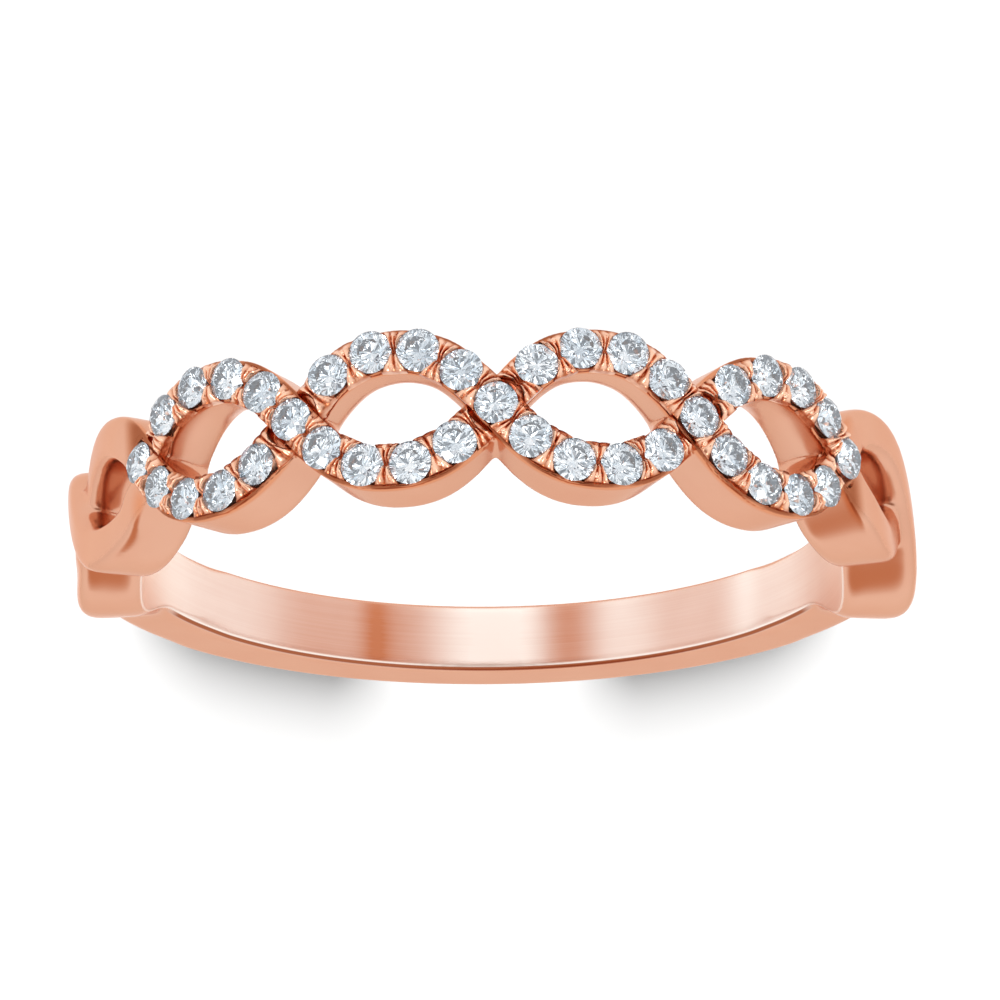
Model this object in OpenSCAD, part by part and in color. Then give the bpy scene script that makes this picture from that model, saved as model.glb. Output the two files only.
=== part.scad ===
// A diamond band for one finger. Two strands cross over each other along the head and run
// into a plain shank behind. The finger's axis is Z, the origin is the middle of the finger
// hole, and the middle of the head points along -Y. Angles go round Z from the head's middle,
// positive towards +X. The ring maps onto itself when it is turned half a turn about Y.

/* [Ring size] */
// Diameter of the finger hole
finger_d = 17.3; // [16.5:0.1:18.5]
// Width of the shank along the finger
shank_w = 1.86; // [1.7:0.02:2]
// Thickness of the shank
shank_t = 1.65; // [1.5:0.05:1.8]
// Radius of the shank's outer edges
shank_round = 0.42; // [0.3:0.02:0.5]
// Radius of the shank's inner edges
inner_round = 0.2; // [0.15:0.01:0.25]

/* [Strands] */
// Width of a strand where it carries stones
strand_w = 1.02; // [1:0.01:1.06]
// Width of a strand where it is plain
plain_w = 1.1; // [1.05:0.01:1.14]
// Thickness of a strand where it carries stones
paved_t = 1.7; // [1.6:0.02:1.8]
// Thickness of a plain strand where it is the upper one
plain_t = 1.86; // [1.8:0.02:1.9]
// Thickness of a plain strand where it is the lower one
under_t = 1.5; // [1.44:0.02:1.56]
// Angle from one crossing to the next
half_wave = 26.3; // [26:0.1:26.6]
// How far a strand's middle swings to each side
wave_h = 1.46; // [1.4:0.01:1.5]
// Share of the third harmonic, which flattens the wave's peaks
wave_flat = 0.053; // [0:0.001:0.06]
// Depth of the dip where a strand passes under the other one
dip_h = 0.36; // [0.3:0.01:0.45]
// Chamfer of the strands' edges at the finger
hem = 0.2; // [0.16:0.02:0.24]
// How far the open ovals widen towards the finger, at each edge
oval_flare = 0.3; // [0.2:0.02:0.32]

/* [Stones] */
// Diameter of a stone
stone_d = 0.99; // [0.95:0.01:0.99]
// Distance from one stone to the next along the strand
stone_step = 1.11; // [1.09:0.01:1.12]
// Height of the girdle over the metal
girdle_h = 0.09; // [0.08:0.01:0.12]
// Gap between a stone and its seat
seat_gap = 0.02; // [0.015:0.005:0.03]
// Radius of a bead that holds two stones
bead_r = 0.15; // [0.12:0.01:0.155]
// Height of a bead over the metal
bead_h = 0.19; // [0.14:0.01:0.22]

/* [Hidden] */
rose_gold = [0.87, 0.62, 0.52];
diamond = [0.85, 0.9, 0.95];
$fn = 96;

// Radii round the finger's axis
finger_r = finger_d / 2;
shank_r = finger_r + shank_t;
paved_r = finger_r + paved_t;
plain_r = finger_r + plain_t;
under_r = finger_r + under_t;
girdle_r = paved_r + girdle_h;
// How far each strand and the shank reach inside the finger hole before it is cut
strand_cut = [0.12, 0.2];
shank_cut = 0.3;

// Angles along the head
last_peak = 3.5 * half_wave;
merge_a = 112;
strand_end = 122;
shank_start = 84;
plain_start = 54;
plain_full = 60;
dip_a = 5.5;
ring_step = 2;

// How far each strand swings, as a share of wave_h, in the plain oval and beyond its crossing.
// The first strand is the lower one at the last crossing, and the second is the upper one.
oval_swing = [0.86, 0.96];
end_swing = [0.8, 0.93];
// Height of a strand's middle where it has run into the shank, and its width and outer radius
merge_z = 0.4;
merge_w = 1;
merge_r = shank_r - 0.1;
merge_drop = 0.1;

// A cut diamond's proportions, as shares of its diameter
table_share = 0.56;
crown_share = 0.15;
girdle_share = 0.025;
pavilion_share = 0.43;

// Smooth step from 0 to 1
function ease(x) = let (t = min(max(x, 0), 1)) t * t * (3 - 2 * t);

// Height of the twisting wave at angle a
function wave(a) = let (t = 180 * a / half_wave)
    wave_h * (sin(t) + wave_flat * sin(3 * t));

function mix(p, q, share) = p + (q - p) * share;

// The strand that is the lower one at the last crossing has way -1, the other has way 1
function pick(pair, way) = way < 0 ? pair[0] : pair[1];

// How far the strand swings at angle a, as a share of the wave
function swing(a, way) = let (k = abs(a) / half_wave)
    mix(mix(1, pick(oval_swing, way), ease((k - 1.9) / 0.5)), pick(end_swing, way), ease((k - 2.7) / 0.6));

// Height of the strand's middle: the wave up to the last peak, then a cosine into the shank
function strand_z(a, way) =
    abs(a) < last_peak ? way * wave(a) * swing(a, way) :
    let (
        peak = wave_h * (1 - wave_flat) * pick(end_swing, way),
        x = min((abs(a) - last_peak) / (merge_a - last_peak), 1)
    )
    -way * sign(a) * mix(merge_z, peak, 0.5 + 0.5 * cos(180 * x));

// Angle to the nearest crossing where the strand is the lower one. These crossings are the
// even ones for the strand with way 1, and the odd ones for the other.
function from_under(a, way) = let (
        first = way > 0 ? 0 : half_wave,
        turn = round((a - first) / (2 * half_wave))
    )
    abs(a - first - 2 * half_wave * turn);

function dip(a, way) = let (d = from_under(a, way))
    d < dip_a ? dip_h * pow(cos(90 * d / dip_a), 2) : 0;

// How plain the strand is at angle a, from 0 among the stones to 1, and how far it has merged
function plain(a) = ease((abs(a) - plain_start) / (plain_full - plain_start));
function merge(a) = ease((abs(a) - last_peak) / (merge_a - last_peak));

// Outer radius of a plain strand: it falls or climbs through the oval to pass under or over
// the other one, and then both are level with the shank
function plain_top(a, way) = let (
        x = max(abs(a) / half_wave, 2),
        turn = way > 0 ? min(2 + (x - 2) / 1.2, 3) : min(x, 3.7),
        over = 0.5 - 0.5 * way * cos(180 * turn)
    )
    mix(under_r, plain_r, over);

function strand_r(a, way) = let (end_r = way > 0 ? merge_r : merge_r - merge_drop)
    mix(mix(paved_r - dip(a, way), plain_top(a, way), plain(a)), end_r, merge(a));

function strand_width(a) = mix(mix(strand_w, plain_w, plain(a)), merge_w, merge(a));

// Points of an arc of radius r round (x, y), from one angle to another, in steps parts
function arc(x, y, r, from, to, steps) =
    [for (i = [0:steps]) let (t = mix(from, to, i / steps)) [x + r * cos(t), y + r * sin(t)]];

// One edge of a strand's section at the finger, [distance from its middle, radius]: the wall
// leans in by flare and ends in a chamfer. The last point lies inside the finger hole.
function hem_points(half, top, low, flare) = [
        [half, mix(top, finger_r, 0.3)],
        [half - flare, finger_r + hem],
        [half - flare - hem, low]
    ];

// Section of a strand, with soft edges where it is plain. The edge that faces an open oval
// flares: the lower edge where the strand is high, the upper one where it is low, and both
// by half at a crossing.
function section(a, way) = let (
        half = strand_width(a) / 2,
        top = strand_r(a, way),
        edge = mix(0.06, way > 0 ? 0.42 : 0.34, plain(a)),
        height = 1.5 * strand_z(a, way) / wave_h,
        flare = oval_flare * (1 - merge(a)),
        low = finger_r - pick(strand_cut, way),
        upper = hem_points(half, top, low, flare * ease(0.5 - height)),
        lower = hem_points(half, top, low, flare * ease(0.5 + height)),
        n = len(upper)
    )
    concat(
        arc(half - edge, top - edge, edge, 0, 90, 2),
        arc(-half + edge, top - edge, edge, 90, 180, 2),
        [for (p = lower) [-p[0], p[1]]],
        [for (i = [1:n]) upper[n - i]]
    );

// Slope of the strand in the unrolled cylinder of radius paved_r
function slope(a, way) = let (h = 0.5)
    atan2(strand_z(a + h, way) - strand_z(a - h, way), paved_r * 2 * h * PI / 180);

// A section's points on the ring, laid across the strand's own direction
function section_points(a, way) = let (s = slope(a, way), z = strand_z(a, way))
    [for (p = section(a, way))
        let (b = a - p[0] * sin(s) / paved_r * 180 / PI)
        [p[1] * sin(b), -p[1] * cos(b), z + p[0] * cos(s)]];

// One strand as a sweep of its section
module strand(way) {
    end = way > 0 ? strand_end : strand_end - ring_step;
    angles = [for (a = [-end:ring_step:end]) a];
    rings = [for (a = angles) section_points(a, way)];
    n = len(rings[0]);
    last = len(rings) - 1;
    sides = [for (i = [0:last - 1], j = [0:n - 1])
        let (k = (j + 1) % n)
        each [
            [i * n + j, (i + 1) * n + j, i * n + k],
            [i * n + k, (i + 1) * n + j, (i + 1) * n + k]
        ]];
    first_cap = [for (j = [1:n - 2]) [0, j, j + 1]];
    last_cap = [for (j = [1:n - 2]) [last * n, last * n + j + 1, last * n + j]];
    polyhedron(
        points = [for (ring = rings) each ring],
        faces = concat(sides, first_cap, last_cap)
    );
}

// Profile of the shank, [radius, height], which reaches into the finger hole before it is cut
function shank_profile() = let (
        half = shank_w / 2,
        r = shank_round,
        q = inner_round,
        foot = half - q + q * sin(150),
        low = finger_r - shank_cut
    )
    concat(
        arc(shank_r - r, half - r, r, 0, 90, 6),
        arc(finger_r + q, half - q, q, 90, 150, 3),
        [[low, foot], [low, -foot]],
        arc(finger_r + q, -half + q, q, 210, 270, 3),
        arc(shank_r - r, -half + r, r, 270, 360, 6)
    );

module shank() {
    rotate([0, 0, shank_start - 90])
        rotate_extrude(angle = 360 - 2 * shank_start)
            polygon(shank_profile());
}

// Angle at each distance along the strand from a crossing, summed in small steps
sum_step = 0.25;
function wave_step(a) = norm([
        girdle_r * sum_step * PI / 180,
        wave(a + sum_step) - wave(a)
    ]);
way_along = [for (a = 0, s = 0; a <= half_wave; s = s + wave_step(a), a = a + sum_step) [s, a]];

function stone_a(j) = sign(j) * lookup(abs(j) * stone_step, way_along);

// Stones of a run: the strand is the upper one at the run's middle, crossing k, and stone j
// stands j steps along it
function run(k, from, to) = [for (j = [from:to]) [k * half_wave + stone_a(j), -wave(stone_a(j))]];

stones_a = concat(run(-2, 0, 4), run(0, -4, 4), run(2, -4, 0));
stones_b = concat(run(-1, -4, 4), run(1, -4, 4));

module on_ring(place, r) {
    rotate([0, 0, place[0]])
        translate([0, -r, place[1]])
            rotate([90, 0, 0])
                children();
}

// A round brilliant with its girdle at the origin
module brilliant() {
    rotate_extrude($fn = 32)
        polygon([
            [0, -pavilion_share * stone_d],
            [stone_d / 2, -girdle_share / 2 * stone_d],
            [stone_d / 2, girdle_share / 2 * stone_d],
            [table_share / 2 * stone_d, crown_share * stone_d],
            [0, crown_share * stone_d]
        ]);
}

// The drilled seat under a stone
module seat() {
    depth = pavilion_share * stone_d + 2 * seat_gap;
    translate([0, 0, -depth])
        cylinder(r1 = 0, r2 = stone_d / 2 + seat_gap, h = depth, $fn = 32);
}

// A bead between two stones, standing in the strand's edge
module bead() {
    foot = 0.3;
    cap = 0.06;
    rotate_extrude($fn = 24)
        polygon([
            [0, -foot],
            [bead_r, -foot],
            [bead_r, bead_h - cap],
            [bead_r - cap, bead_h],
            [0, bead_h]
        ]);
}

// Both beads at half a step, j, along the run round crossing k
module bead_pair(k, j) {
    a = stone_a(j);
    s = atan2(-wave(a + 0.5) + wave(a - 0.5), paved_r * PI / 180);
    out = strand_w / 2 - bead_r - 0.02;
    for (side = [-1, 1])
        on_ring([
            k * half_wave + a - side * out * sin(s) / paved_r * 180 / PI,
            -wave(a) + side * out * cos(s)
        ], paved_r)
            bead();
}

module beads() {
    for (k = [-1, 0, 1], j = [-3.5:1:3.5])
        bead_pair(k, j);
    for (side = [-1, 1], j = [-0.5:1:3.5])
        bead_pair(2 * side, -side * j);
}

// The strands and the shank with the finger hole, before it is set with stones
module blank()
    difference() {
        union() {
            union() {
                strand(-1);
                strand(1);
            }
            shank();
        }
        cylinder(r = finger_r, h = 8, center = true);
    }

module band() color(rose_gold)
    difference() {
        union() {
            blank();
            beads();
        }
        for (place = concat(stones_a, stones_b))
            on_ring(place, girdle_r)
                seat();
    }

module stones_strand_a() color(diamond)
    for (place = stones_a)
        on_ring(place, girdle_r)
            brilliant();

module stones_strand_b() color(diamond)
    for (place = stones_b)
        on_ring(place, girdle_r)
            brilliant();

band();
stones_strand_a();
stones_strand_b();
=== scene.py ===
import math

import bmesh
import bpy
import numpy as np
from mathutils import Matrix, Vector


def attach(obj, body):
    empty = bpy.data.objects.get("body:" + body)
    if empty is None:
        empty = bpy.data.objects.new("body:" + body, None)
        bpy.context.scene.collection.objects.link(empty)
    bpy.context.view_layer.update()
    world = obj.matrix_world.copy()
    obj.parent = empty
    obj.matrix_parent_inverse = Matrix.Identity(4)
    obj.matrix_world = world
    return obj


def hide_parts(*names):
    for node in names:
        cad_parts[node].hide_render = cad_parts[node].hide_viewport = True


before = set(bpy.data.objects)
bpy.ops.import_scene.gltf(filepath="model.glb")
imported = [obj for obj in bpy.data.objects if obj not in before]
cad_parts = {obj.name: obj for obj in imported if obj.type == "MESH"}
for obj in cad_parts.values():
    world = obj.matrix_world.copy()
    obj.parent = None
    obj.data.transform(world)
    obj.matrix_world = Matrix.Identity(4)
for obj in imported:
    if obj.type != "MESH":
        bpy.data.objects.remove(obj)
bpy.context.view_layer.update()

# The ring lies on its side. Z is the finger's axis, the head points along -Y, and angles go
# round Z from the middle of the head, positive towards +X. Lengths are in mm, mesh in metres.
mm = 0.001

ring = {
    "fingerR": 8.65,            # radii from the finger's axis
    "shankR": 10.3,
    "shankWidth": 1.86,
    "pavedR": 10.35,
    "plainR": 10.51,            # the strand on top where there are no stones, and the lower one
    "underR": 10.15,
    "halfWave": 26.3,           # angle from one crossing to the next
    "waveHeight": 1.46,         # how far a strand's middle swings
    "waveFlat": 0.053,          # share of the sine's third harmonic
    "ovalSwing": (1.9, 0.5),    # (start, length) in half waves of the plain oval's lower swing,
    "endSwing": (2.7, 0.6),     # and of the last peak's
    "dipDepth": 0.36,           # where a strand passes under the other one
    "dipAngle": 5.5,
    "plain": (54, 6),           # (start, length) in degrees: from here on there are no stones
    "passStart": 2,             # half waves from the middle where the plain crossing begins,
    "passLength": 1.2,          # how many of them the way 1 strand needs for a half turn,
    "passEnd": {-1: 3.7, 1: 3},     # and where each strand's turn stops
    "mergeAngle": 112,          # here the strands have run into the shank
    "mergeHeight": 0.4,
    "mergeWidth": 1.0,
    "mergeR": 10.2,
    "mergeDrop": 0.1,
    "strandWidth": 1.02,
    "plainWidth": 1.1,
    "stoneD": 0.99,
    "stoneStep": 1.11,          # from stone to stone along a strand
    "girdleR": 10.44,
}
lastPeak = 3.5 * ring["halfWave"]


def ease(x):
    # Smooth step: 3t^2 - 2t^3 with t held between 0 and 1
    t = np.clip(x, 0, 1)
    return t * t * (3 - 2 * t)


def fade(value, start, length):
    # 0 up to start, and from there a smooth step to 1
    return ease((value - start) / length)


def mix(p, q, share):
    # From p at share 0 to q at share 1
    return p + (q - p) * share


def sine(degrees):
    return np.sin(np.radians(degrees))


def cosine(degrees):
    return np.cos(np.radians(degrees))


def wave(angle):
    # Height of the twist: a sine with a little of its third harmonic
    turn = 180 * angle / ring["halfWave"]
    return ring["waveHeight"] * (sine(turn) + ring["waveFlat"] * sine(3 * turn))


# way is -1 for the strand that is the lower one at the last crossing, and 1 for the other.
# Shares of the full swing in the plain oval and at the last peak
swings = {-1: (0.86, 0.8), 1: (0.96, 0.93)}


def strandHeight(angle, way):
    # The wave, less high in the plain oval, and from the last peak on a cosine into the shank
    k = np.abs(angle) / ring["halfWave"]
    oval, end = swings[way]
    swing = mix(mix(1, oval, fade(k, *ring["ovalSwing"])), end, fade(k, *ring["endSwing"]))
    peak = ring["waveHeight"] * (1 - ring["waveFlat"]) * end
    x = np.clip((np.abs(angle) - lastPeak) / (ring["mergeAngle"] - lastPeak), 0, 1)
    tail = -way * np.sign(angle) * mix(ring["mergeHeight"], peak, 0.5 + 0.5 * cosine(180 * x))
    return np.where(np.abs(angle) < lastPeak, way * wave(angle) * swing, tail)


def dip(angle, way):
    # Squared cosine round each crossing where the strand is the lower one
    first = 0 if way > 0 else ring["halfWave"]
    turn = np.round((angle - first) / (2 * ring["halfWave"]))
    away = np.abs(angle - first - 2 * ring["halfWave"] * turn)
    shape = cosine(90 * np.minimum(away / ring["dipAngle"], 1)) ** 2
    return ring["dipDepth"] * shape


def plainShare(angle):
    # 0 among the stones, 1 in the plain parts
    return fade(np.abs(angle), *ring["plain"])


def mergeShare(angle):
    # 0 up to the last peak, 1 where the strands have run into the shank
    return fade(np.abs(angle), lastPeak, ring["mergeAngle"] - lastPeak)


def strandRadius(angle, way):
    # Among the stones the paved radius less the dip, then a half turn of cosine to pass over
    # or under the other strand, then level with the shank
    start = ring["passStart"]
    x = np.maximum(np.abs(angle) / ring["halfWave"], start)
    turn = start + (x - start) / ring["passLength"] if way > 0 else x
    over = 0.5 - 0.5 * way * cosine(180 * np.minimum(turn, ring["passEnd"][way]))
    plain = mix(ring["underR"], ring["plainR"], over)
    end = ring["mergeR"] - (0 if way > 0 else ring["mergeDrop"])
    top = mix(ring["pavedR"] - dip(angle, way), plain, plainShare(angle))
    return mix(top, end, mergeShare(angle))


def strandSlope(angle, way):
    # Rise over run between two points h degrees before and behind
    h = 0.25
    rise = strandHeight(angle + h, way) - strandHeight(angle - h, way)
    return np.arctan2(rise, ring["pavedR"] * math.radians(2 * h))


def onRing(angle, radius, height):
    # Cylinder coordinates to the frame, in mm
    return np.stack([radius * sine(angle), -radius * cosine(angle), height + 0 * radius], -1)


def acrossStrand(angle, way, across, radius):
    # A point beside the strand's middle line: across is laid along the strand's own normal in
    # the unrolled cylinder, and the radius stays as given
    slope = strandSlope(angle, way)
    turned = angle - np.degrees(across * np.sin(slope) / ring["pavedR"])
    return onRing(turned, radius, strandHeight(angle, way) + across * np.cos(slope))


# Distance along a strand from the crossing where it is on top, summed over small steps
walkAngle = np.linspace(0, ring["halfWave"], 2001)
walkStep = np.hypot(ring["girdleR"] * np.radians(np.diff(walkAngle)), np.diff(wave(walkAngle)))
walkLength = np.concatenate([[0], np.cumsum(walkStep)])


def stoneAngle(j):
    # Angle of the stone number j, counted from that crossing
    j = np.asarray(j, float)
    return np.sign(j) * np.interp(np.abs(j) * ring["stoneStep"], walkLength, walkAngle)


# Runs of stones, [crossing where the strand is on top, first stone, last stone]
runs = {-1: [(-2, 0, 4), (0, -4, 4), (2, -4, 0)], 1: [(-1, -4, 4), (1, -4, 4)]}


def stonePlaces(way):
    # [angle, height] of each stone of a strand
    spots = []
    for crossing, first, last in runs[way]:
        a = stoneAngle(np.arange(first, last + 1))
        spots.append(np.stack([crossing * ring["halfWave"] + a, -wave(a)], -1))
    return np.concatenate(spots)


def addObject(name, data):
    made = bpy.data.objects.new(name, data)
    bpy.context.scene.collection.objects.link(made)
    return made


def addPiece(name, mesh, crease):
    # Smooth, with sharp edges above the crease angle. 0 leaves it faceted
    mesh.polygons.foreach_set("use_smooth", [crease > 0] * len(mesh.polygons))
    mesh.update()
    if crease:
        mesh.set_sharp_from_angle(angle=math.radians(crease))
    piece = addObject(name, mesh)
    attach(piece, "root")
    return piece


def makeMesh(name, points, faces, material, crease):
    # Points are in mm
    mesh = bpy.data.meshes.new(name)
    mesh.from_pydata(np.asarray(points, float).reshape(-1, 3) * mm, [], faces)
    mesh.materials.append(material)
    return addPiece(name, mesh, crease)


def gridFaces(rows, columns, closed=False):
    # Quads between neighbouring points of a grid, whose last column may join the first one
    i = columns * np.arange(rows - 1)[:, None]
    j = np.arange(columns if closed else columns - 1)[None, :]
    after = (j + 1) % columns
    corners = [i + j, i + columns + j, i + columns + after, i + after]
    return np.stack(corners, -1).reshape(-1, 4).tolist()


def sweepFaces(rows, columns):
    # A closed profile carried along an open path, with both ends capped
    last = (rows - 1) * columns
    caps = [list(range(columns)), list(range(last + columns - 1, last - 1, -1))]
    return gridFaces(rows, columns, True) + caps


def flip(faces):
    # The same faces seen from the other side
    return [face[::-1] for face in faces]


def addLayer(mesh, name, domain, values):
    # An attribute that a material reads
    layer = mesh.attributes.new(name, "FLOAT", domain)
    layer.data.foreach_set("value", values)


def arc(x, y, r, start, stop, steps):
    # Points of a circle's arc round (x, y), from start to stop in degrees
    t = np.linspace(start, stop, steps + 1)
    return np.stack([x + r * cosine(t), y + r * sine(t)], -1)


class Socket:
    # Wraps a node's output, so that + - and * on it add the Math nodes
    def __init__(self, shader, out):
        self.shader, self.out = shader, out

    def calc(self, operation, first, second):
        settings = {"operation": operation}
        return self.shader.node("ShaderNodeMath", settings, {0: first, 1: second})

    def __add__(self, other):
        return self.calc("ADD", self, other)

    def __sub__(self, other):
        return self.calc("SUBTRACT", self, other)

    def __rsub__(self, other):
        return self.calc("SUBTRACT", other, self)

    def __mul__(self, other):
        return self.calc("MULTIPLY", self, other)

    __radd__, __rmul__ = __add__, __mul__


class Shader:
    # The nodes of one material, or of the room's light
    def __init__(self, owner):
        owner.use_nodes = True
        self.owner, self.tree = owner, owner.node_tree

    def node(self, kind, settings=None, inputs=None, output=0):
        made = self.tree.nodes.new(kind)
        for key, value in (settings or {}).items():
            setattr(made, key, value)
        self.fill(made, inputs or {})
        return Socket(self, made.outputs[output])

    def fill(self, made, inputs):
        for key, value in inputs.items():
            if isinstance(value, Socket):
                self.tree.links.new(value.out, made.inputs[key])
            else:
                made.inputs[key].default_value = value

    def surface(self, inputs):
        self.fill(self.tree.nodes["Principled BSDF"], inputs)
        return self.owner

    def place(self):
        return self.node("ShaderNodeTexCoord", output="Object")

    def noise(self, scale, detail, vector=None):
        inputs = {"Vector": vector or self.place(), "Scale": scale, "Detail": detail}
        return self.node("ShaderNodeTexNoise", {}, inputs)

    def range(self, value, low, high, newLow, newHigh):
        # Linear from low..high to newLow..newHigh, held at both ends
        inputs = {"Value": value, "From Min": low, "From Max": high,
                  "To Min": newLow, "To Max": newHigh}
        return self.node("ShaderNodeMapRange", {}, inputs)

    def rise(self, value, span, unit=1):
        # 0 below a span, 1 above it
        return self.range(value, span[0] * unit, span[1] * unit, 0, 1)

    def vary(self, value, span, by):
        # A noise's span made -by..by
        return self.range(value, *span, -by, by)

    def vector(self, operation, inputs, output="Vector"):
        return self.node("ShaderNodeVectorMath", {"operation": operation}, inputs, output)

    def bump(self, height, strength, distance):
        inputs = {"Strength": strength, "Distance": distance, "Height": height}
        return self.node("ShaderNodeBump", {}, inputs)

    def blend(self, share, first, second):
        # Colour mix
        inputs = {0: share, 6: first, 7: second}
        return self.node("ShaderNodeMix", {"data_type": "RGBA"}, inputs, 2)

    def attribute(self, name):
        return self.node("ShaderNodeAttribute", {"attribute_name": name}, output="Fac")


# Spans of a noise's values: the middle half of them, and nearly all
noiseMiddle = (0.35, 0.65)
noiseMost = (0.3, 0.7)

goldLook = {
    "plain": (0.72, 0.395, 0.272, 1),
    "cloudy": (0.7, 0.365, 0.247, 1),
    "edge": (0.93, 0.74, 0.64, 1),          # reflection at a grazing angle
    "cut": (0.7, 0.29, 0.155, 1),           # among the stones: a deeper orange, painted for the light bounced between the gold there
    "paintedEdgeShadow": (0.36, 0.11, 0.05, 1),       # painted shadow along the wall tops beside the stones,
    "paintedEdgeShadowR": (10.24, 10.29),             # and the radii where it begins and is full
    "insideLight": (1, 0.885, 0.81, 1),
    "insideDark": (0.58, 0.205, 0.1, 1),
    "paintedDarkLine": (0.36, 0.11, 0.05, 1),          # painted dark line along the shank's inner edge
    "plainRough": 0.2,
    "cutRough": 0.16,
    "insideRough": 0.36,
    "roughDrift": 0.03,
    "clouds": 450,                          # noise scales, in waves to the metre
    "hairlines": 7000,
    "hairlineDepth": 0.25,
    "polishing": (30, 30, 4000),            # how the satin's lines are squeezed
    "polishingLines": 6,
    "lineDrift": 0.03,                      # how far the lines and clouds move the satin's tone
    "cloudDrift": 0.15,
    "grainHeight": 0.005,                   # mm
    "grainStrength": 0.2,
    # Across the rounding of the shank's inner edge: where the painted highlight and the painted
    # dark line begin and are full
    "paintedHighlightSpan": (-0.17, -0.12),
    "paintedDarkSpan": (-0.1, -0.07),
    "linesEnd": (0.04, 0.1),                # where both have gone again
    "linesSide": (0, 0.5),                  # in Z: they are painted on one side only
}


def goldMaterial():
    # Rose gold: polished, cut among the stones where a deeper orange is painted for the light
    # bounced between the gold, with a paler satin inside. The attributes "cut" and "inside" are 1
    # where those finishes are, "band" lays painted light and dark reflection bands on the satin,
    # and
    # "onShank" is 1 where the inner edge has its painted highlight and painted dark line
    shader = Shader(bpy.data.materials.new("roseGold"))
    place = shader.place()
    cloud = shader.noise(goldLook["clouds"], 3)
    fine = shader.noise(goldLook["hairlines"], 2)
    cutMask = shader.attribute("cut")
    inside = shader.attribute("inside")
    flat = shader.vector("MULTIPLY", {0: place, 1: (1, 1, 0)})
    radius = shader.vector("LENGTH", {0: flat}, "Value")
    tone = shader.blend(shader.rise(cloud, noiseMiddle), goldLook["plain"], goldLook["cloudy"])
    # Among the stones a deeper orange: painted light bounced between the gold
    tone = shader.blend(cutMask, tone, goldLook["cut"])
    # A painted shadow: a dark line along the wall tops beside the stones
    paintedEdgeShadow = shader.rise(radius, goldLook["paintedEdgeShadowR"], mm) * cutMask
    tone = shader.blend(paintedEdgeShadow, tone, goldLook["paintedEdgeShadow"])
    # Polishing lines that run round the finger: noise squeezed along Z
    drawn = shader.node("ShaderNodeMapping", {}, {"Vector": place, "Scale": goldLook["polishing"]})
    lines = shader.noise(goldLook["polishingLines"], 2, drawn)
    drift = shader.vary(lines, noiseMost, goldLook["lineDrift"])
    # The satin's painted light and dark reflection bands round the finger, with polishing lines and
    # clouds
    band = shader.attribute("band") + drift + (cloud - 0.5) * goldLook["cloudDrift"]
    paintedBandSatin = shader.blend(band, goldLook["insideLight"], goldLook["insideDark"])
    tone = shader.blend(inside, tone, paintedBandSatin)
    # A painted highlight and a painted dark line along the shank's inner edge. Across its rounding
    # goes the distance from the bore less the distance from the side
    z = shader.node("ShaderNodeSeparateXYZ", {}, {"Vector": place}, "Z")
    high = shader.node("ShaderNodeMath", {"operation": "ABSOLUTE"}, {0: z})
    across = radius + high - (ring["fingerR"] + ring["shankWidth"] / 2) * mm
    edge = shader.attribute("onShank") * (1 - shader.rise(across, goldLook["linesEnd"], mm))
    edge = edge * shader.rise(z, goldLook["linesSide"], mm)
    light = shader.rise(across, goldLook["paintedHighlightSpan"], mm) * edge
    tone = shader.blend(light, tone, goldLook["insideLight"])
    paintedDarkLine = shader.rise(across, goldLook["paintedDarkSpan"], mm) * edge
    tone = shader.blend(paintedDarkLine, tone, goldLook["paintedDarkLine"])
    rough = goldLook["plainRough"] + shader.vary(cloud, noiseMost, goldLook["roughDrift"])
    rough = rough + cutMask * (goldLook["cutRough"] - goldLook["plainRough"])
    rough = rough + inside * (goldLook["insideRough"] - goldLook["plainRough"])
    height = fine * (1 - inside) * goldLook["hairlineDepth"] + lines * inside
    bump = shader.bump(height, goldLook["grainStrength"], goldLook["grainHeight"] * mm)
    return shader.surface({"Base Color": tone, "Metallic": 1.0, "Roughness": rough,
                           "Specular Tint": goldLook["edge"], "Normal": bump})


clawLook = {
    # The ridge tone is lighter as a painted highlight, and the groove colour is painted shade
    "ridge": (0.95, 0.59, 0.42, 1),
    "paintedClawShade": (0.5, 0.15, 0.06, 1),
    "clouds": 3200,         # noise scales, in waves to the metre
    "cells": 9000,
    "grooveDrift": 0.2,     # how far the clouds move the tone between the ridge's painted highlight and the painted shade
    "cloudHeight": 1.5,     # against the cells
    "grainHeight": 0.01,    # mm
    "grainStrength": 0.5,
    "rough": (0.14, 0.26),
}


def clawMaterial():
    # The same gold where the graver has cut it, lighter on the ridges as a painted highlight. Its
    # painted shade attribute is 1 at the bottom of a cut
    shader = Shader(bpy.data.materials.new("roseGoldCut"))
    cells = shader.node("ShaderNodeTexVoronoi", {"feature": "F1"},
                        {"Vector": shader.place(), "Scale": clawLook["cells"]})
    cloud = shader.noise(clawLook["clouds"], 3)
    paintedClawShade = shader.attribute("paintedClawShade") + shader.vary(cloud, noiseMiddle, clawLook["grooveDrift"])
    tone = shader.blend(paintedClawShade, clawLook["ridge"], clawLook["paintedClawShade"])
    height = cells + clawLook["cloudHeight"] * cloud
    bump = shader.bump(height, clawLook["grainStrength"], clawLook["grainHeight"] * mm)
    return shader.surface({"Base Color": tone, "Metallic": 1.0, "Normal": bump,
                           "Roughness": shader.range(cloud, *noiseMost, *clawLook["rough"])})


stoneLook = {
    "clear": (1, 1, 1, 1),
    # the painted dark reflection that facets are darkened towards
    "paintedDarkFacet": (0.64, 0.7, 0.75, 1),
    "glow": (0.03, 0.036, 0.044, 1),    # painted glow: light the lower facets give off themselves, for what they would give back from all round
    "ior": 2.42,
    "clouds": 2500,                     # waves to the metre
    "cloudDrift": 0.1,
}


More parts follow.
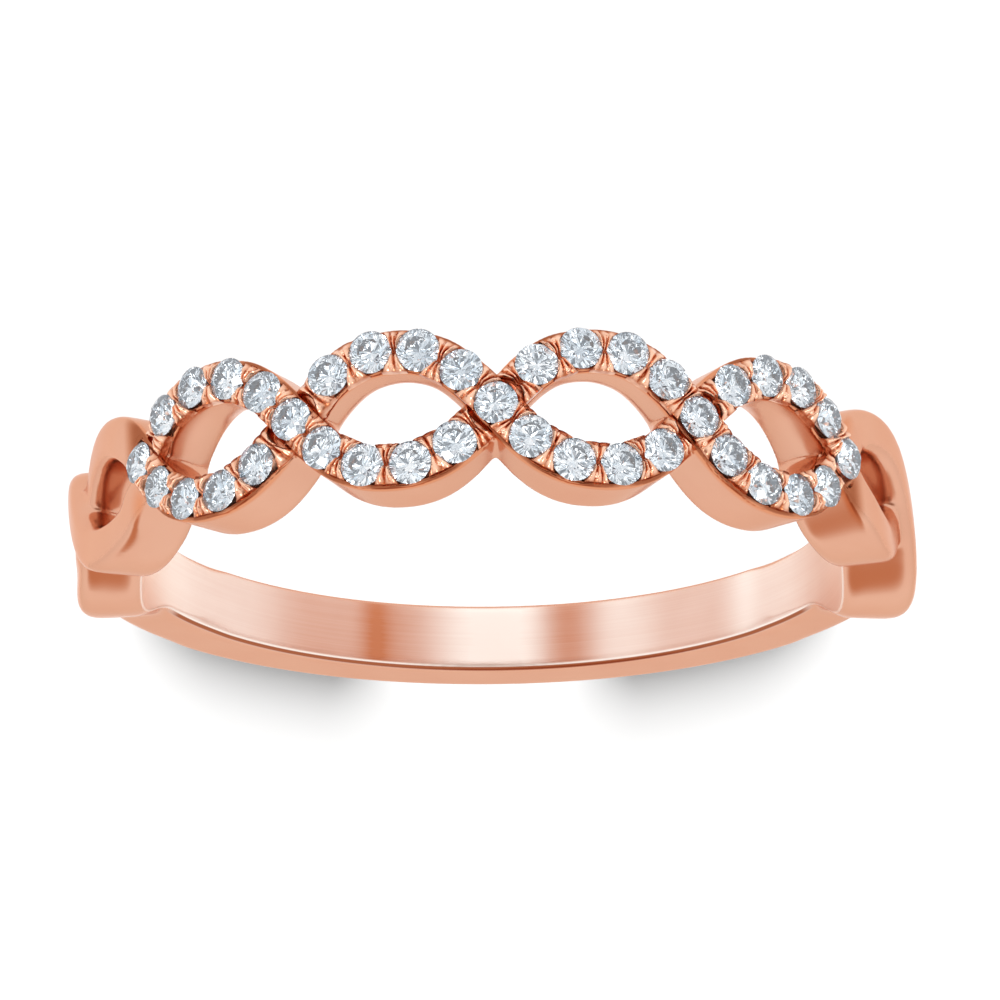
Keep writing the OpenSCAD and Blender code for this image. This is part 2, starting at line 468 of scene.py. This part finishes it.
def diamondMaterial():
    # Clear stone whose lower facets throw the light back, as a well cut one does, with a faint
    # painted glow. The attribute "facet" darkens each facet by its own chance share towards a
    # painted dark reflection, and "back" is 1 on the lower facets
    shader = Shader(bpy.data.materials.new("diamond"))
    back = shader.attribute("back")
    cloud = shader.noise(stoneLook["clouds"], 2)
    paintedDarkness = shader.attribute("facet") + shader.vary(cloud, noiseMiddle, stoneLook["cloudDrift"])
    return shader.surface({"Base Color": shader.blend(paintedDarkness, stoneLook["clear"], stoneLook["paintedDarkFacet"]),
                           "Metallic": back, "Roughness": 0.0, "IOR": stoneLook["ior"],
                           "Emission Color": shader.blend(back, (0, 0, 0, 1), stoneLook["glow"]),
                           "Emission Strength": 1.0, "Transmission Weight": 1.0})


gold = goldMaterial()
goldCut = clawMaterial()
diamond = diamondMaterial()

# The gold body: both strands and the shank, run together by a voxel remesh and softened

rail = {
    "step": 0.5,                # degrees between sections
    "end": {-1: 120, 1: 122},
    "thin": (110, 9),           # (start, length) in degrees: the ends sink into the shank,
    "thinBy": 0.4,              # by this share of their width
    "topMin": 0.05,             # half of the least flat width that the rounding leaves on top
    "edge": 0.04,               # rounding of the wall's top among the stones,
    "plainEdge": {-1: 0.2, 1: 0.24},    # in the plain parts,
    "endRound": 0.15,           # and how much more of it there is on the shoulders
    "endRoundFrom": (78, 12),
    "topEdge": 0.02,
    "scallop": 0.06,            # how far the wall's edge dips beside a stone,
    "scallopWidth": 0.27,       # and over which length
    "channel": 0.36,            # depth of the pit under a stone
    "pitEnd": 0.58,             # distance from the stone's middle where the pit has ended,
    "pitFade": 0.16,            # and the length of its slope
    "lip": 0.12,                # how far the wall's top reaches in over it
    "lipGap": 0.02,
    "lipLean": 0.01,
    "flare": 0.3,               # how far the open ovals widen towards the finger
    "flareTurn": 1.5,           # how fast that goes over from one wall to the other
    "flareEnd": (77, 7),
    "leanStart": 0.3,           # share of the wall's height where it begins to lean
    "hem": 0.2,
    "sunk": 0.1,                # how far the foot reaches into the finger hole, before it is cut
    "edgePoints": 9,
    "wallPoints": 8,
}

shank = {
    "start": 82,
    "step": 1,
    "outerRound": 0.26,
    "innerRound": 0.2,
    "outerPoints": 8,
    "innerPoints": 6,
    "tone": 0.13,           # the satin inside, from 0 light to 1 dark, and its broad soft bands of painted reflection, light and dark:
    "paintedReflectionBands": [(111, 6, -0.1), (128, 14, 0.16), (145, 9, 0.44), (158, 10.5, 0.43), (159.5, 3, 0.27),
              (167, 8, 0.49), (177, 14, -0.25), (192.5, 4, 0.57), (197, 4, 0.47),
              (213.5, 5, 0.13), (223, 13, 0.38), (230.5, 4, -0.28), (256, 12, 0.33)],
}                           # (angle, half width in degrees, how much darker)

body = {
    "voxel": 0.05,          # mm
    "passes": 50,           # of smoothing in the plain parts,
    "crispPasses": 5,       # and among the stones
    "plainFrom": (55, 6),   # (start, length) in degrees of the full smoothing,
    "shankFrom": (123, 6),  # and of the shank, which keeps this share of its shape:
    "shankKeeps": 0.85,
    "footTop": 10.05,       # below this radius the walls at the crossings run together softly
    "footFade": 0.3,
    "footShare": 0.35,
    "footEnd": 62,
    "crease": 50,           # degrees from which an edge stays sharp
}

# The pieces round the finger, from one angle to another
sectors = {
    "head": (-40, 40),
    "shoulder_left": (-112, -40),
    "shoulder_right": (40, 112),
    "shank_right": (112, 157),
    "shank_middle": (157, 203),
    "shank_left": (203, 248),
}

# Where each finish begins: (start, length) in degrees from the head's middle or in mm of depth
finish = {
    "cutEnd": (54, 3),
    "cutRadius": (10.08, 0.12),
    "satinStart": (60, 20),
    "satinDepth": (0.02, 0.04),
    # where the painted highlight and painted dark line along the shank's inner edge begin
    "linesStart": (108, 6),
}


def nearStone(angle, way):
    # Distance along the strand from each section to the nearest stone, in mm
    spots = stonePlaces(way)
    gap = np.abs(angle[:, None] - spots[None, :, 0]).min(1)
    slope = strandSlope(angle, way)
    return np.radians(gap) * ring["girdleR"] / np.cos(slope)


def railSection(angle, way):
    # [across, radius] of each section. Rows are sections and columns go round the profile:
    # the groove, one wall with its lip, hem and foot, the inside, and the other wall
    far = np.abs(angle)
    plain = plainShare(angle)
    half = mix(ring["strandWidth"], ring["plainWidth"], plain)
    half = mix(half, ring["mergeWidth"], mergeShare(angle)) / 2
    half = half * (1 - rail["thinBy"] * fade(far, *rail["thin"]))
    gap = nearStone(angle, way)
    stones = ease((rail["pitEnd"] - gap) / rail["pitFade"]) * (1 - plain)
    beside = np.exp(-(gap / rail["scallopWidth"]) ** 2) * (1 - plain)
    wallTop = strandRadius(angle, way) - rail["topEdge"] * stones - rail["scallop"] * beside
    height = rail["flareTurn"] * strandHeight(angle, way) / ring["waveHeight"]
    flare = rail["flare"] * (1 - fade(far, *rail["flareEnd"]))
    low = ring["fingerR"] - rail["sunk"]
    edge = mix(rail["edge"], rail["plainEdge"][way], plain)
    edge = edge + rail["endRound"] * fade(far, *rail["endRoundFrom"])
    edge = np.minimum(edge, half - rail["topMin"])
    pit = wallTop - rail["channel"] * stones
    lipIn = half - edge - rail["lip"] * stones - rail["lipGap"]

    def side(lean):
        # From the middle of the groove over the wall to the foot
        points = [(lipIn * 0.5, pit), (lipIn, pit), (lipIn + rail["lipLean"], wallTop)]
        for t in np.linspace(90, 0, rail["edgePoints"]):
            points.append((half - edge + edge * cosine(t), wallTop - edge + edge * sine(t)))
        bend = mix(wallTop, ring["fingerR"], rail["leanStart"])
        for s in np.linspace(0, 1, rail["wallPoints"]):
            # The wall leans in towards the foot along a half parabola
            points.append((half - lean * s * s, mix(bend, ring["fingerR"] + rail["hem"], s)))
        points.append((half - lean - rail["hem"], low))
        return points

    upper = side(flare * ease(0.5 - height))
    lower = side(flare * ease(0.5 + height))
    loop = [(0 * half, pit)] + upper + [(0 * half, low)]
    loop += [(-u, r) for u, r in lower[::-1]]
    return np.stack([np.stack([u + 0 * half, r + 0 * half], -1) for u, r in loop], 1)


def strandBody(way):
    # The sections set across the strand's middle line, from one shoulder to the other
    end = rail["end"][way]
    angle = np.arange(-end, end + rail["step"] / 2, rail["step"])
    section = railSection(angle, way)
    rows, columns = section.shape[:2]
    a = np.repeat(angle[:, None], columns, 1)
    points = acrossStrand(a, way, section[..., 0], section[..., 1])
    return points.reshape(-1, 3), sweepFaces(rows, columns)


def shankBody():
    # A rectangle with rounded corners carried round the finger
    half = ring["shankWidth"] / 2
    outer, inner = shank["outerRound"], shank["innerRound"]
    low = ring["fingerR"]
    section = np.concatenate([
        arc(ring["shankR"] - outer, half - outer, outer, 0, 90, shank["outerPoints"]),
        arc(low + inner, half - inner, inner, 90, 180, shank["innerPoints"]),
        arc(low + inner, -half + inner, inner, 180, 270, shank["innerPoints"]),
        arc(ring["shankR"] - outer, -half + outer, outer, 270, 360, shank["outerPoints"]),
    ])
    angle = np.arange(shank["start"], 360 - shank["start"] + 0.01, shank["step"])
    a = np.repeat(angle[:, None], len(section), 1)
    points = onRing(a, section[None, :, 0] + 0 * a, section[None, :, 1] + 0 * a)
    return points.reshape(-1, 3), sweepFaces(len(angle), len(section))


def joined(parts):
    # One list of points and one of faces from several
    points, faces, start = [], [], 0
    for p, f in parts:
        points.append(p)
        faces += [[k + start for k in face] for face in f]
        start += len(p)
    return np.concatenate(points), faces


def remeshed(points, faces, voxel):
    # One closed skin round everything
    mesh = bpy.data.meshes.new("raw")
    mesh.from_pydata(points, [], faces)
    holder = addObject("raw", mesh)
    merge = holder.modifiers.new("merge", "REMESH")
    merge.mode, merge.voxel_size = "VOXEL", voxel
    graph = bpy.context.evaluated_depsgraph_get()
    merged = bpy.data.meshes.new_from_object(holder.evaluated_get(graph))
    bpy.data.objects.remove(holder)
    bpy.data.meshes.remove(mesh)
    return merged


def readPoints(mesh):
    points = np.zeros(len(mesh.vertices) * 3)
    mesh.vertices.foreach_get("co", points)
    return points.reshape(-1, 3)


def ringAngle(points):
    # Angle round Z from the middle of the head, -180..180
    return np.degrees(np.arctan2(points[:, 0], -points[:, 1]))


def ringRadius(points):
    return np.hypot(points[:, 0], points[:, 1])


def soften(mesh):
    # Each pass moves a point half way to the mean of its neighbours
    points = readPoints(mesh)
    edges = np.zeros(len(mesh.edges) * 2, np.int32)
    mesh.edges.foreach_get("vertices", edges)
    p, q = edges.reshape(-1, 2).T
    size = len(points)
    count = np.bincount(p, minlength=size) + np.bincount(q, minlength=size)
    away = np.abs(ringAngle(points))
    kept = body["shankKeeps"] * fade(away, *body["shankFrom"])
    soft = fade(away, *body["plainFrom"]) * (1 - kept)
    # The walls' lower parts run together softly at the crossings as well
    foot = body["footShare"] * ease((body["footTop"] - ringRadius(points)) / body["footFade"])
    soft = np.maximum(soft, foot * (away < body["footEnd"]))
    share = np.maximum(soft, body["crispPasses"] / body["passes"])
    for _ in range(body["passes"]):
        total = np.stack([np.bincount(p, points[q, k], size) + np.bincount(q, points[p, k], size)
                          for k in range(3)], -1)
        points = points + 0.5 * share[:, None] * (total / count[:, None] - points)
    # Nothing stands inside the finger hole
    grow = np.maximum(ring["fingerR"] / ringRadius(points), 1)
    points[:, :2] *= grow[:, None]
    mesh.vertices.foreach_set("co", points.ravel())
    mesh.update()


def sector(mesh, name, start, stop):
    # The part of the ring between two angles, cut by planes through the axis and closed there
    cutter = bmesh.new()
    cutter.from_mesh(mesh)
    for angle, sign in ((start, -1), (stop, 1)):
        everything = cutter.verts[:] + cutter.edges[:] + cutter.faces[:]
        normal = (sign * float(cosine(angle)), sign * float(sine(angle)), 0)
        bmesh.ops.bisect_plane(cutter, geom=everything, dist=1e-6, plane_co=(0, 0, 0),
                               plane_no=normal, clear_outer=True)
    bmesh.ops.holes_fill(cutter, edges=[e for e in cutter.edges if e.is_boundary], sides=0)
    part = bpy.data.meshes.new(name)
    cutter.to_mesh(part)
    cutter.free()
    points = readPoints(part)
    radius = ringRadius(points)
    away = np.abs(ringAngle(points))
    turned = ringAngle(points) % 360
    outside = fade(radius - ring["fingerR"], *finish["satinDepth"])
    # The satin's tone with its painted light and dark reflection bands round the finger
    band = shank["tone"] + sum(much * np.exp(-((turned - angle) / wide) ** 2)
                               for angle, wide, much in shank["paintedReflectionBands"])
    for key, values in {
        "cut": (1 - fade(away, *finish["cutEnd"])) * fade(radius, *finish["cutRadius"]),
        "inside": (1 - outside) * fade(away, *finish["satinStart"]),
        "band": band,
        "onShank": fade(away, *finish["linesStart"]),
    }.items():
        addLayer(part, key, "POINT", values)
    part.vertices.foreach_set("co", (points * mm).ravel())
    part.materials.clear()
    part.materials.append(gold)
    piece = addPiece(name, part, body["crease"])
    return piece


whole = remeshed(*joined([strandBody(-1), strandBody(1), shankBody()]), body["voxel"])
print("gold body merged,", len(whole.polygons), "faces")
soften(whole)
bodyPieces = [sector(whole, name, *span) for name, span in sectors.items()]
bpy.data.meshes.remove(whole)
print("gold body done")

# Stones

seeds = {"brilliants_a": 5, "brilliants_b": 8, "claws": 21}     # each gives another chance pattern

cut = {
    "table": 0.56,          # shares of the diameter
    "girdle": 0.025,
    "crownTilt": 34.5,      # degrees from the girdle's plane
    "pavilionTilt": 40.75,
    "halves": 0.78,         # length of the lower halves
    "lean": 2.2,            # degrees that a stone stands off, on average
    "facetPower": 1.6,      # how rare the facets with the darkest painted reflection are
}


def brilliant():
    # A round brilliant of diameter 1 with its girdle's middle at the origin: a table, 8 stars,
    # 8 kites, 16 upper halves, a girdle of 32 sides, 8 mains and 16 lower halves
    eighth = 45 * np.arange(8)
    rim = 11.25 * np.arange(32)
    between = 22.5                                  # half of an eighth
    shorter = math.cos(math.radians(between))
    crown, pavilion = (math.tan(math.radians(cut[k])) for k in ("crownTilt", "pavilionTilt"))
    top, low = cut["girdle"] / 2, -cut["girdle"] / 2
    tableR = cut["table"] / 2
    tableZ = top + crown * (0.5 - tableR)
    starR = (tableR * shorter + 0.5) / 2
    starZ = tableZ - crown * (starR * shorter - tableR)
    culetZ = low - pavilion * 0.5
    halfR = 0.5 * (1 - cut["halves"])
    halfZ = culetZ + pavilion * halfR * shorter

    def circle(r, z, turn):
        return np.stack([r * cosine(turn), r * sine(turn), z + 0 * turn], -1)

    points = np.concatenate([
        circle(tableR, tableZ, eighth),             # 0..7
        circle(starR, starZ, eighth + between),     # 8..15
        circle(0.5, top, rim),                      # 16..47
        circle(0.5, low, rim),                      # 48..79
        circle(halfR, halfZ, eighth + between),     # 80..87
        [[0, 0, culetZ]],                           # 88
    ])
    faces = [list(range(8))]
    for i in range(8):
        j = (i + 1) % 8
        before = (i - 1) % 8
        g = [16 + (4 * i + k) % 32 for k in range(5)]
        h = [48 + (4 * i + k) % 32 for k in range(5)]
        faces += [[i, 8 + i, j], [i, 8 + before, g[0], 8 + i]]
        faces += [[8 + i, g[0], g[1], g[2]], [8 + i, g[2], g[3], g[4]]]
        faces += [[g[k], h[k], h[k + 1], g[k + 1]] for k in range(4)]
        faces += [[80 + i, h[2], h[1], h[0]], [80 + i, h[4], h[3], h[2]]]
        faces += [[88, 80 + i, h[0], 80 + before]]
    return points, faces


def buildStones(name, way):
    # One brilliant copied to every place of a strand, turned and leaning a little by chance
    shape, faces = brilliant()
    places = stonePlaces(way)
    dice = np.random.default_rng(seeds[name])
    count = len(places)
    spin = np.radians(dice.uniform(0, 45, count))
    tilt = np.radians(dice.normal(0, cut["lean"], (count, 2)))
    local = shape[None] * ring["stoneD"]
    x = local[..., 0] * np.cos(spin)[:, None] - local[..., 1] * np.sin(spin)[:, None]
    y = local[..., 0] * np.sin(spin)[:, None] + local[..., 1] * np.cos(spin)[:, None]
    z = local[..., 2] + x * tilt[:, :1] + y * tilt[:, 1:]
    angle = places[:, :1]
    # Each stone stands flat on the ring: along the tangent, along Z and outwards
    radius = ring["girdleR"] + z
    points = np.stack([
        radius * sine(angle) + x * cosine(angle),
        -radius * cosine(angle) + x * sine(angle),
        places[:, 1:] + y,
    ], -1)
    everything = [[p + i * len(shape) for p in face] for i in range(count) for face in faces]
    piece = makeMesh(name, points, everything, diamond, 0)
    low = np.array([max(shape[p, 2] for p in face) < 0 for face in faces], float)
    # Each facet's share of the painted dark reflection, by chance
    addLayer(piece.data, "facet", "FACE", dice.random(len(everything)) ** cut["facetPower"])
    addLayer(piece.data, "back", "FACE", np.tile(low, count))
    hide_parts(name.replace("brilliants", "stones_strand"))
    return piece


stonePieces = [buildStones("brilliants_a", -1), buildStones("brilliants_b", 1)]
print("stones done")

# Claws: the metal between two stones, cut into ridges that run to the point where they touch

claw = {
    "overlap": 0.03,        # how far it covers the stones' edges
    "gate": -3,             # degrees round the stone from the point where they touch
    "reach": 57,
    "inset": 0.035,         # how far its outer end stays inside the wall
    "outward": 4,           # power by which its rows reach for the wall
    "sunk": 0.5,            # share of the strand's dip that it follows
    "foot": 10.2,           # radii of its foot, where the stones touch, at its top and at the wall
    "low": 10.37,
    "high": 10.45,
    "edgeR": 10.36,
    "riseEnd": 0.35,        # shares of its length where it is at its top
    "fall": (0.72, 0.28),   # and (start, length) of the way down to the wall
    "ridge": 0.12,
    "ridgePower": 0.7,
    "ridgeFall": 0.5,       # how much lower the ridges are at the wall
    "tallness": (0.7, 1.2),
    "threeRidges": 0.6,     # share of the claws with three ridges and not two
    "bend": 0.5,
    "dark": (1.1, 0.5, 0.7),    # how dark the painted shade is: between ridges, where the stones touch, at the wall
    "wallLine": (0.88, 0.1),
    "skirt": 0.4,           # and on its sides
    "rows": 12,
    "columns": 19,
    "crease": 30,
}

grains = {
    "odds": 0.4,            # share of the claws with a round grain on top
    "out": (0.3, 0.38),     # from the strand's middle line
    "along": (-0.06, 0.06),
    "sunk": 0.01,
    "r": (0.07, 0.095),
}


def gapBetween(j, side):
    # The gap after stone j in the unrolled cylinder: the stone's middle and the next one's, the
    # directions along the strand and out of it, and the distance
    a = stoneAngle(np.array([j, j + 1], float))
    spots = np.stack([ring["girdleR"] * np.radians(a), -wave(a)], -1)
    along = spots[1] - spots[0]
    size = np.hypot(*along)
    along = along / size
    return spots, along, side * np.array([-along[1], along[0]]), size


def clawShell(way, crossing, j, side, dice):
    # Rows go outwards round the two stones' circles and columns from one stone to the other.
    # The height is a hump from the touching point to the wall, with |sin| ridges across it
    rows, columns = claw["rows"], claw["columns"]
    spots, along, across, size = gapBetween(j, side)
    r = ring["stoneD"] / 2 - claw["overlap"]
    u = np.linspace(0, 1, rows)[:, None]
    turn = mix(claw["gate"], claw["reach"], u)
    share = np.linspace(0, 1, columns)[None, :]
    widest = ring["strandWidth"] / 2 - claw["inset"]
    out = r * sine(turn) + (widest - r * sine(claw["reach"])) * u ** claw["outward"]
    here = mix(r * cosine(turn), size - r * cosine(turn), share)
    px, pz = (spots[0, k] + along[k] * here + across[k] * out for k in (0, 1))
    bars = 3 if dice.random() < claw["threeRidges"] else 2
    bend = dice.uniform(-claw["bend"], claw["bend"])
    bowed = share + bend * (share - share ** 2) * u
    ridges = np.abs(np.sin(np.pi * bars * bowed)) ** claw["ridgePower"]
    rise = ease(u / claw["riseEnd"])
    fall = fade(u, *claw["fall"])
    base = mix(mix(claw["low"], claw["high"], rise), claw["edgeR"], fall)
    tall = claw["ridge"] * ridges * rise * (1 - claw["ridgeFall"] * fall)
    tall = tall * dice.uniform(*claw["tallness"])
    angle = crossing * ring["halfWave"] + np.degrees(px / ring["girdleR"])
    lower = dip(angle, way)
    upper = onRing(angle, base + tall - claw["sunk"] * lower, pz)
    under = onRing(angle, claw["foot"] - lower + 0 * base, pz)
    grid = gridFaces(rows, columns)
    n = rows * columns
    border = np.concatenate([
        np.arange(rows) * columns,
        (rows - 1) * columns + np.arange(1, columns),
        np.arange(rows - 2, -1, -1) * columns + columns - 1,
        np.arange(columns - 2, 0, -1),
    ])
    after = np.roll(border, -1)
    skirt = np.stack([after, border, border + n, after + n], -1).tolist()
    faces = grid + [[p + n for p in f[::-1]] for f in grid] + skirt
    if side < 0:
        faces = flip(faces)
    points = np.concatenate([upper.reshape(-1, 3), under.reshape(-1, 3)])
    # Painted shade for each point: between the ridges, where the stones touch and at the wall, and
    # a fixed share on the sides
    valley, touch, wall = claw["dark"]
    paintedDarkness = valley * (1 - ridges) + touch * (1 - rise) + wall * fade(u, *claw["wallLine"])
    paintedDarkness = np.clip(paintedDarkness, 0, 1).ravel()
    return points, faces, np.append(paintedDarkness, 0 * paintedDarkness + claw["skirt"])


def ball(centre, r):
    # Rows run from pole to pole and columns round it. The poles are single points
    rows, columns = 6, 10
    tilt = np.linspace(0, 180, rows + 1)[1:-1, None]
    turn = np.linspace(0, 360, columns, endpoint=False)[None, :]
    x, y, z = sine(tilt) * cosine(turn), sine(tilt) * sine(turn), cosine(tilt) + 0 * turn
    skin = np.stack([x, y, z], -1).reshape(-1, 3)
    points = np.concatenate([skin, [[0, 0, 1], [0, 0, -1]]]) * r + centre
    n = (rows - 1) * columns
    j = np.arange(columns)
    k = (j + 1) % columns
    top = np.stack([j, k, 0 * j + n], -1).tolist()
    last = np.stack([n - columns + k, n - columns + j, 0 * j + n + 1], -1).tolist()
    return points, flip(gridFaces(rows - 1, columns, True)) + top + last, np.zeros(n + 2)


def grain(way, crossing, j, side, dice):
    # A round grain raised at the outer end of a claw
    spots, along, across, size = gapBetween(j, side)
    middle = spots.mean(0) + across * dice.uniform(*grains["out"])
    middle = middle + along * dice.uniform(*grains["along"])
    angle = crossing * ring["halfWave"] + np.degrees(middle[0] / ring["girdleR"])
    radius = claw["high"] - dip(angle, way) - grains["sunk"]
    return ball(onRing(angle, radius, middle[1]), dice.uniform(*grains["r"]))


# One more claw stands beyond a run's last stone where the strand goes under the other one
dice = np.random.default_rng(seeds["claws"])
everyRun = [(way, *run) for way in (-1, 1) for run in runs[way]]
clawShells = [clawShell(way, crossing, j, side, dice) for way, crossing, first, last in everyRun
              for j in range(first - (first < 0), last + (last > 0)) for side in (-1, 1)]
clawShells += [grain(way, crossing, j, side, dice) for way, crossing, first, last in everyRun
               for j in range(first, last) for side in (-1, 1) if dice.random() < grains["odds"]]
clawBody = joined([shell[:2] for shell in clawShells])
clawPiece = makeMesh("claws", *clawBody, goldCut, claw["crease"])
addLayer(clawPiece.data, "paintedClawShade", "POINT", np.concatenate([shell[2] for shell in clawShells]))
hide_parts("band")
print("claws done")

# Floor, light and camera

floorLook = {
    "height": -1.96,
    "reach": 600,                   # from the middle to its edges
    "shade": (0.12, 0.12, 0.12, 1),
    "clouds": 300,
    "cloudShare": 0.015,            # how much the paper's tone varies
    "rough": 0.9,
    "glow": 0.24,                   # what is left of the white in the deepest shadow
}


def floorMaterial():
    # Pale paper. The low sun makes it white, and its own glow keeps the shadows soft and light
    shader = Shader(bpy.data.materials.new("paleFloor"))
    cloud = shader.noise(floorLook["clouds"], 4)
    grain = shader.range(cloud, *noiseMost, 0, floorLook["cloudShare"])
    return shader.surface({"Base Color": shader.blend(grain, floorLook["shade"], (0, 0, 0, 1)),
                           "Roughness": floorLook["rough"], "Specular IOR Level": 0.0,
                           "Emission Color": (1, 1, 1, 1), "Emission Strength": floorLook["glow"]})


floorMesh = bpy.data.meshes.new("floor")
reach, level = floorLook["reach"] * mm, floorLook["height"] * mm
corners = [(x * reach, y * reach, level) for x, y in ((-1, -1), (1, -1), (1, 1), (-1, 1))]
floorMesh.from_pydata(corners, [], [(0, 1, 2, 3)])
floorMesh.materials.append(floorMaterial())
floor = addObject("floor", floorMesh)

studio = {
    "horizon": 1.0,             # brightness of the room, there and overhead
    "sky": 1.12,
    "skySpan": (0, 0.7),
    "hood": (0, -0.955, 0.3),   # direction of the dark screen round the camera
    "hoodShade": (0.34, 0.21, 0.16, 1),
    "hoodSize": (24, 12),       # degrees from its middle where it begins and is full
    "canopy": (0.2, 0.03, 1),   # direction of the warm screen overhead
    "canopyShade": (0.64, 0.345, 0.21, 1),
    "canopySize": (32, 16),
    "stoneLight": (1.4, 1.42, 1.43, 1),
    "stoneDark": (0.06, 0.08, 0.1, 1),
    "stonePatches": 8.5,        # how many dark screens the stones throw back,
    "patchEdge": (0.43, 0.47),  # and how soft and wide they are
}


def makeWorld():
    # A pale room, a little darker at the horizon, with a dark screen round the camera and a warm
    # one overhead. The light that comes back out of a stone is broken up by small screens
    world = bpy.data.worlds.new("studio")
    room = Shader(world)
    direction = room.node("ShaderNodeTexCoord", output="Generated")
    height = room.node("ShaderNodeSeparateXYZ", {}, {"Vector": direction}, "Z")

    def screen(middle, size):
        # 1 inside the smaller of two angles from a direction and 0 outside the larger one
        towards = {0: direction, 1: Vector(middle).normalized()}
        facing = room.vector("DOT_PRODUCT", towards, "Value")
        return room.rise(facing, [math.cos(math.radians(angle)) for angle in size])

    hood = screen(studio["hood"], studio["hoodSize"])
    tone = room.blend(hood, (1, 1, 1, 1), studio["hoodShade"])
    tone = room.blend(screen(studio["canopy"], studio["canopySize"]), tone, studio["canopyShade"])
    patches = room.noise(studio["stonePatches"], 2, direction)
    dark = room.range(patches, *studio["patchEdge"], 1, 0) + hood
    inStone = room.blend(dark, studio["stoneLight"], studio["stoneDark"])
    through = room.node("ShaderNodeLightPath", output="Is Transmission Ray")
    bright = room.range(height, *studio["skySpan"], studio["horizon"], studio["sky"])
    colour = room.blend(through, tone, inStone)
    room.fill(world.node_tree.nodes["Background"], {"Color": colour, "Strength": bright})
    bpy.context.scene.world = world


def group(name, pieces):
    # What a lamp lights, or what blocks its light
    made = bpy.data.collections.new(name)
    for piece in pieces:
        made.objects.link(piece)
    return made


makeWorld()

# Small lamps that only light the stones and claws, for their sparkle. Places and sizes in metres
lamps = {
    "sparkLeft": {"place": (-0.13, -0.18, 0.15), "size": 0.05, "bright": 7},
    "sparkRight": {"place": (0.15, -0.15, 0.2), "size": 0.05, "bright": 7},
    "sparkTop": {"place": (0.01, -0.05, 0.28), "size": 0.07, "bright": 5},
    "sparkLow": {"place": (0.05, -0.27, 0.03), "size": 0.05, "bright": 5},
}
sparkling = group("sparkling", stonePieces + [clawPiece])
for name, lamp in lamps.items():
    light = bpy.data.lights.new(name, "AREA")
    light.size = lamp["size"]
    light.energy = lamp["bright"] * math.pi * lamp["size"] ** 2
    stand = addObject(name, light)
    stand.location = lamp["place"]
    stand.rotation_euler = (-Vector(lamp["place"])).to_track_quat("-Z", "Y").to_euler()
    stand.light_linking.receiver_collection = sparkling

# A low sun from in front that only lights the floor. The shank's two sides throw their soft
# shadows behind it
floorLight = {"elevation": 11, "strength": 106, "softness": 10.5}
shankSides = [piece for piece in bodyPieces if piece.name in ("shank_right", "shank_left")]
sun = bpy.data.lights.new("lowSun", "SUN")
sun.energy = floorLight["strength"]
sun.angle = math.radians(floorLight["softness"])
sunStand = addObject("lowSun", sun)
sunStand.rotation_euler = (math.radians(90 - floorLight["elevation"]), 0, 0)
sunStand.light_linking.receiver_collection = group("litFloor", [floor])
sunStand.light_linking.blocker_collection = group("shadeMakers", shankSides)

view = {
    "distance": 97.25,
    "elevation": 17.389,    # degrees, as are azimuth and roll
    "azimuth": -0.714,
    "roll": -0.579,
    "lens": 140.55,
    "sensor": 36,
    "shift": (0.0086, 0.0418),
    "clip": (5, 5000),
}


def makeCamera():
    # The photo was taken from below the horizon. The ring looks the same after half a turn
    # about Y, so the same view is had from above with the camera upside down
    e, a, r = (math.radians(view[k]) for k in ("elevation", "azimuth", "roll"))
    back = Vector((math.sin(a) * math.cos(e), -math.cos(a) * math.cos(e), -math.sin(e)))
    right = (-back).cross(Vector((0, 0, 1))).normalized()
    up = right.cross(-back)
    turnedRight = math.cos(r) * right + math.sin(r) * up
    turnedUp = -math.sin(r) * right + math.cos(r) * up
    half = Matrix.Diagonal((-1, 1, -1))
    x, y, z = half @ turnedRight, half @ turnedUp, half @ back
    data = bpy.data.cameras.new("camera")
    data.lens = view["lens"]
    data.sensor_width = view["sensor"]
    data.shift_x, data.shift_y = view["shift"]
    data.clip_start, data.clip_end = (distance * mm for distance in view["clip"])
    matrix = Matrix((x, y, z)).transposed().to_4x4()
    matrix.translation = z * view["distance"] * mm
    camera = addObject("camera", data)
    camera.matrix_world = matrix
    bpy.context.scene.camera = camera


makeCamera()
bpy.context.scene.view_settings.view_transform = "Standard"
print("stage done")
